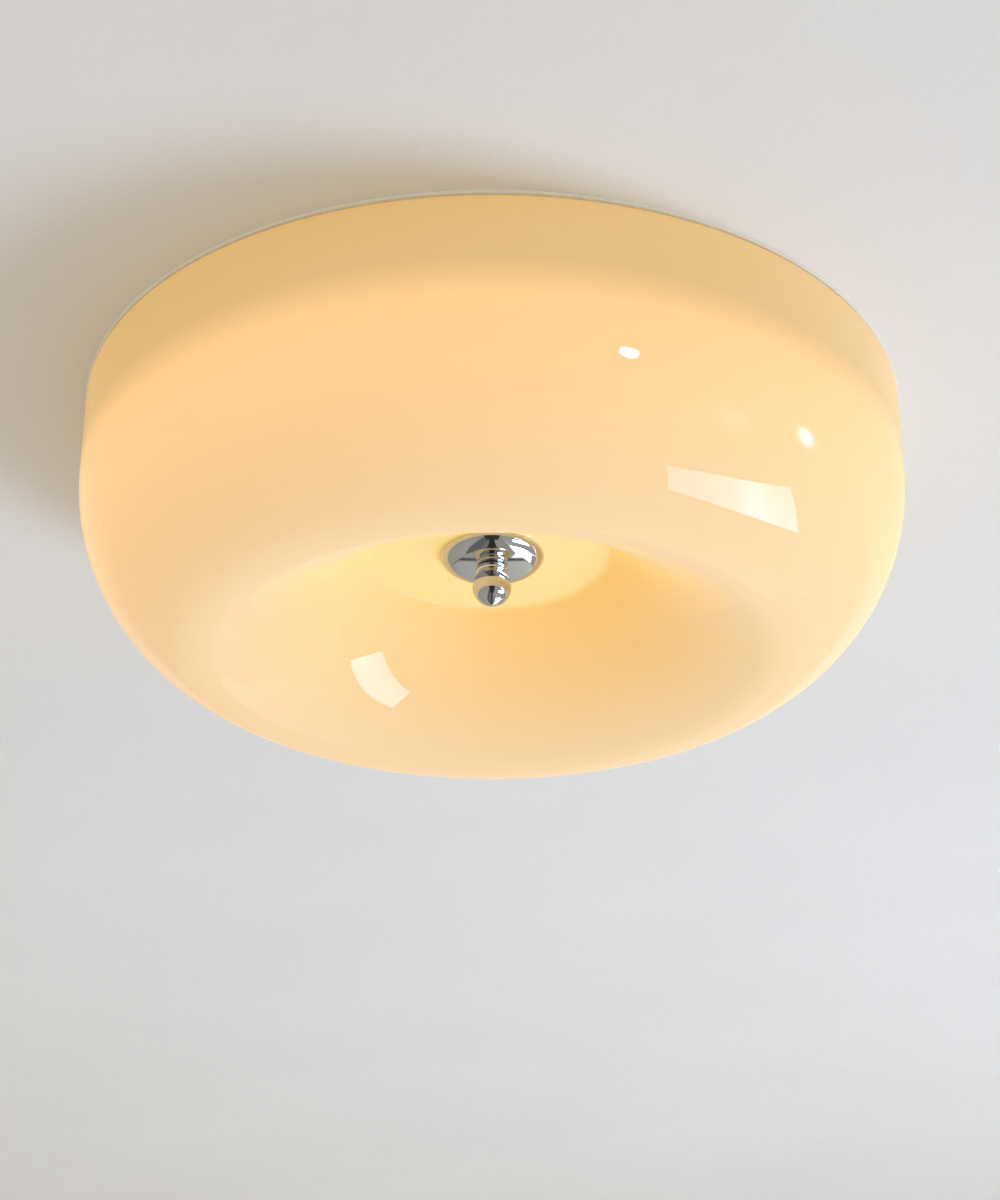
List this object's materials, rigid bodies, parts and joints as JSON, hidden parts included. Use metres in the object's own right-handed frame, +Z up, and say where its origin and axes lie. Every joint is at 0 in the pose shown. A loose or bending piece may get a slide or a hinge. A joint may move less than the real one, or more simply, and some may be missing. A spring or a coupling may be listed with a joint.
{
  "type": "led ceiling light",
  "caption": "Round flush ceiling light: a dimpled opal glass bowl under a white steel pan, held up by a chrome cap and a ball finial that unscrews to lower the glass.",
  "frame": {"origin": "the middle of the ceiling plane, midway between the bracket's two ceiling screw slots", "axes": "+Z up into the ceiling, +X along the ceiling bracket, -Y towards the viewer of the picture"},
  "size_m": [0.4006, 0.4006, 0.1278],
  "materials": {
    "opal_glass": "gloss opal glass, lit from inside",
    "chrome_plate": "polished chrome plate",
    "white_powder_coat": "satin white powder coat",
    "zinc_steel": "bright zinc plate",
    "white_foam": "closed-cell foam",
    "silicone": "clear silicone",
    "board_white": "white solder mask on aluminium",
    "chip_phosphor": "phosphor gel",
    "nylon_white": "moulded nylon",
    "black_rubber": "matt rubber",
    "driver_plastic": "fine moulded texture",
    "circuit_board": "green solder mask",
    "transformer_tape": "polyester tape",
    "capacitor_sleeve": "shrunk sleeve",
    "tinned_copper": "tin plate",
    "lead_brown": "insulating sleeve",
    "lead_blue": "insulating sleeve",
    "lead_green_yellow": "striped insulating sleeve",
    "lead_red": "insulating sleeve",
    "lead_black": "insulating sleeve"
  },
  "bodies": {
    "chassis": {"ceiling_bracket": "zinc_steel", "hanging_screws": "zinc_steel", "stud_washers": "zinc_steel", "stud_cap_nuts": "chrome_plate", "chassis_pan": "white_powder_coat", "rim_seal": "white_foam", "centre_rod": "zinc_steel", "rod_washers": "zinc_steel", "rod_nuts": "zinc_steel", "led_board": "board_white", "led_chips": "chip_phosphor", "led_board_screws": "zinc_steel", "board_connector": "nylon_white", "lead_grommet": "black_rubber", "driver_case": "driver_plastic", "driver_cover": "driver_plastic", "driver_board": "circuit_board", "driver_transformer": "transformer_tape", "driver_capacitors": "capacitor_sleeve", "driver_screws": "zinc_steel", "terminal_block": "nylon_white", "terminal_screws": "zinc_steel", "terminal_fixing_screw": "zinc_steel", "earth_lug": "tinned_copper", "earth_screw": "zinc_steel", "live_lead": "lead_brown", "neutral_lead": "lead_blue", "earth_lead": "lead_green_yellow", "positive_lead": "lead_red", "negative_lead": "lead_black"},
    "shade": {"glass_shade": "opal_glass", "shade_bush": "silicone", "cap_gasket": "silicone", "finial_cap": "chrome_plate"},
    "finial": {"finial": "chrome_plate"}
  },
  "joints": [
    {"name": "shade_lower", "type": "slide", "parent": "chassis", "child": "shade", "axis": [0, 0, -1], "range_m": [0, 0.011]},
    {"name": "finial_turn", "type": "hinge", "parent": "shade", "child": "finial", "pos_m": [0, 0, -0.087], "axis": [0, 0, -1], "range_deg": [0, 3960]}
  ],
  "couplings": [
    {"joint": "finial_turn", "follows": "shade_lower", "rad_per_m": 6283.2}
  ]
}
